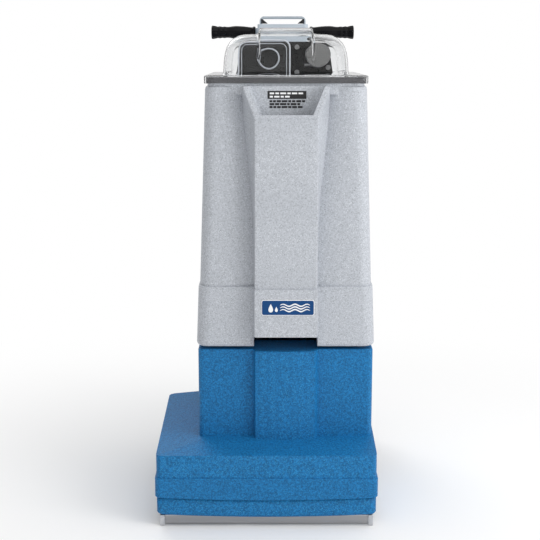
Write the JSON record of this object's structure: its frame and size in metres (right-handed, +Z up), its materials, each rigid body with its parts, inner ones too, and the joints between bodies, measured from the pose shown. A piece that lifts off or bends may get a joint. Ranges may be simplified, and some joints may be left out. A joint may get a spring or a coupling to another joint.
{
  "type": "spot extractor",
  "caption": "Walk-behind spot extractor with an upright two-chamber tank under a clear lid, a base with an offset brush deck, rear wheels and a folding handlebar mast.",
  "frame": {"origin": "on the floor, under the centre of the machine's overall box", "axes": "+Z up, -Y out of the front where the vacuum shoe is, +X to the right when looking at the front, towards +Y"},
  "size_m": [0.4664, 0.852, 1.053],
  "materials": {
    "tank_grey": "speckled satin",
    "base_blue": "speckled satin",
    "black_plastic": "satin",
    "dark_rubber": "matte",
    "tyre_rubber": "matte",
    "hub_plastic": "satin",
    "clear_plastic": "clear gloss",
    "stainless": "brushed",
    "zinc_steel": "zinc plated",
    "motor_paint": "satin",
    "console_grey": "satin",
    "tube_grey": "powder coat",
    "grip_black": "ribbed",
    "hose_grey": "satin",
    "bristle_blue": "nylon",
    "badge_blue": "printed",
    "label_dark": "printed",
    "float_white": "satin",
    "brass": "machined",
    "switch_red": "gloss"
  },
  "bodies": {
    "chassis": {"base_housing": "base_blue", "deck_skirt": "base_blue", "chassis_frame": "zinc_steel", "axle": "zinc_steel", "vac_shoe": "stainless", "shoe_end_plates": "stainless", "recovery_hose": "hose_grey", "vac_motor": "motor_paint", "vac_hose": "hose_grey", "pump": "motor_paint", "solution_hoses": "hose_grey", "brush_motor": "motor_paint", "spray_bar": "zinc_steel", "spray_nozzles": "brass", "port_seals": "dark_rubber", "base_hinge": "stainless", "mast_bracket": "tube_grey", "pivot_knobs": "black_plastic", "drain_hose": "hose_grey", "drain_clips": "black_plastic", "housing_screws": "zinc_steel"},
    "wheel_left": {"tyre_left": "tyre_rubber", "wheel_hub_left": "hub_plastic"},
    "wheel_right": {"tyre_right": "tyre_rubber", "wheel_hub_right": "hub_plastic"},
    "brush_float": {"brush_frame": "zinc_steel", "drive_belt": "dark_rubber"},
    "brush": {"brush_core": "black_plastic", "brush_bristles": "bristle_blue", "brush_pulley": "black_plastic"},
    "motor_rotor": {"motor_pulley": "zinc_steel"},
    "fan": {"vac_fan": "zinc_steel"},
    "tank": {"tank_shell": "tank_grey", "standpipes": "hose_grey", "lid_gasket": "dark_rubber", "tower": "black_plastic", "port_ring": "black_plastic", "strainer": "stainless", "hose_clamp": "stainless", "deflector": "clear_plastic", "tower_screws": "zinc_steel", "float_stem": "black_plastic", "tank_badge": "badge_blue", "fill_label": "label_dark", "tank_hinge": "stainless", "hinge_pins": "zinc_steel"},
    "float": {"float_ball": "float_white"},
    "lid": {"lid_dome": "clear_plastic"},
    "mast": {"mast_tubes": "tube_grey", "handlebar": "tube_grey", "grips": "grip_black", "console_case": "console_grey", "switch_panel": "black_plastic", "cord_gland": "black_plastic"},
    "spray_bail": {"spray_loop": "tube_grey", "loop_boots": "dark_rubber"},
    "pump_switch": {"pump_rocker": "switch_red"},
    "vacuum_switch": {"vacuum_rocker": "switch_red"},
    "brush_switch": {"brush_rocker": "switch_red"},
    "breaker": {"breaker_button": "black_plastic"}
  },
  "joints": [
    {"name": "left_wheel_spin", "type": "hinge", "parent": "chassis", "child": "wheel_left", "pos_m": [-0.11325, 0.044, 0.127], "axis": [1, 0, 0], "continuous": true},
    {"name": "right_wheel_spin", "type": "hinge", "parent": "chassis", "child": "wheel_right", "pos_m": [0.20075, 0.044, 0.127], "axis": [1, 0, 0], "continuous": true},
    {"name": "brush_float_swing", "type": "hinge", "parent": "chassis", "child": "brush_float", "pos_m": [0.04375, -0.146, 0.112], "axis": [-1, 0, 0], "range_deg": [0, 3.5]},
    {"name": "brush_spin", "type": "hinge", "parent": "brush_float", "child": "brush", "pos_m": [0.04375, -0.306, 0.0435], "axis": [1, 0, 0], "continuous": true},
    {"name": "brush_motor_spin", "type": "hinge", "parent": "chassis", "child": "motor_rotor", "pos_m": [-0.20125, -0.146, 0.112], "axis": [1, 0, 0], "continuous": true},
    {"name": "fan_spin", "type": "hinge", "parent": "chassis", "child": "fan", "pos_m": [0.09575, -0.126, 0.18], "axis": [0, 0, 1], "continuous": true},
    {"name": "tank_tilt", "type": "hinge", "parent": "chassis", "child": "tank", "pos_m": [0.04375, 0.088, 0.363], "axis": [-1, 0, 0], "range_deg": [0, 22]},
    {"name": "float_rise", "type": "slide", "parent": "tank", "child": "float", "axis": [0, 0, 1], "range_m": [0, 0.045]},
    {"name": "lid_lift", "type": "slide", "parent": "tank", "child": "lid", "axis": [0, 0, 1], "range_m": [0, 0.11]},
    {"name": "handle_fold", "type": "hinge", "parent": "chassis", "child": "mast", "pos_m": [0.04375, 0.136, 0.33], "axis": [-1, 0, 0], "range_deg": [0, 75]},
    {"name": "spray_bail_squeeze", "type": "hinge", "parent": "mast", "child": "spray_bail", "pos_m": [0.04375, 0.371, 1.02], "axis": [-1, 0, 0], "range_deg": [0, 8], "stiffness_Nm_per_rad": 1.2, "springref_deg": -6.88},
    {"name": "pump_switch_press", "type": "hinge", "parent": "mast", "child": "pump_switch", "pos_m": [0.01375, 0.421, 0.996], "axis": [-1, 0, 0], "range_deg": [0, 16]},
    {"name": "vacuum_switch_press", "type": "hinge", "parent": "mast", "child": "vacuum_switch", "pos_m": [0.04375, 0.421, 0.996], "axis": [-1, 0, 0], "range_deg": [0, 16]},
    {"name": "brush_switch_press", "type": "hinge", "parent": "mast", "child": "brush_switch", "pos_m": [0.07375, 0.421, 0.996], "axis": [-1, 0, 0], "range_deg": [0, 16]},
    {"name": "breaker_press", "type": "slide", "parent": "mast", "child": "breaker", "axis": [0, -1, 0], "range_m": [0, 0.002], "stiffness_N_per_m": 600, "springref_m": -0.002}
  ],
  "couplings": [
    {"joint": "brush_motor_spin", "follows": "brush_spin", "ratio": 2}
  ]
}
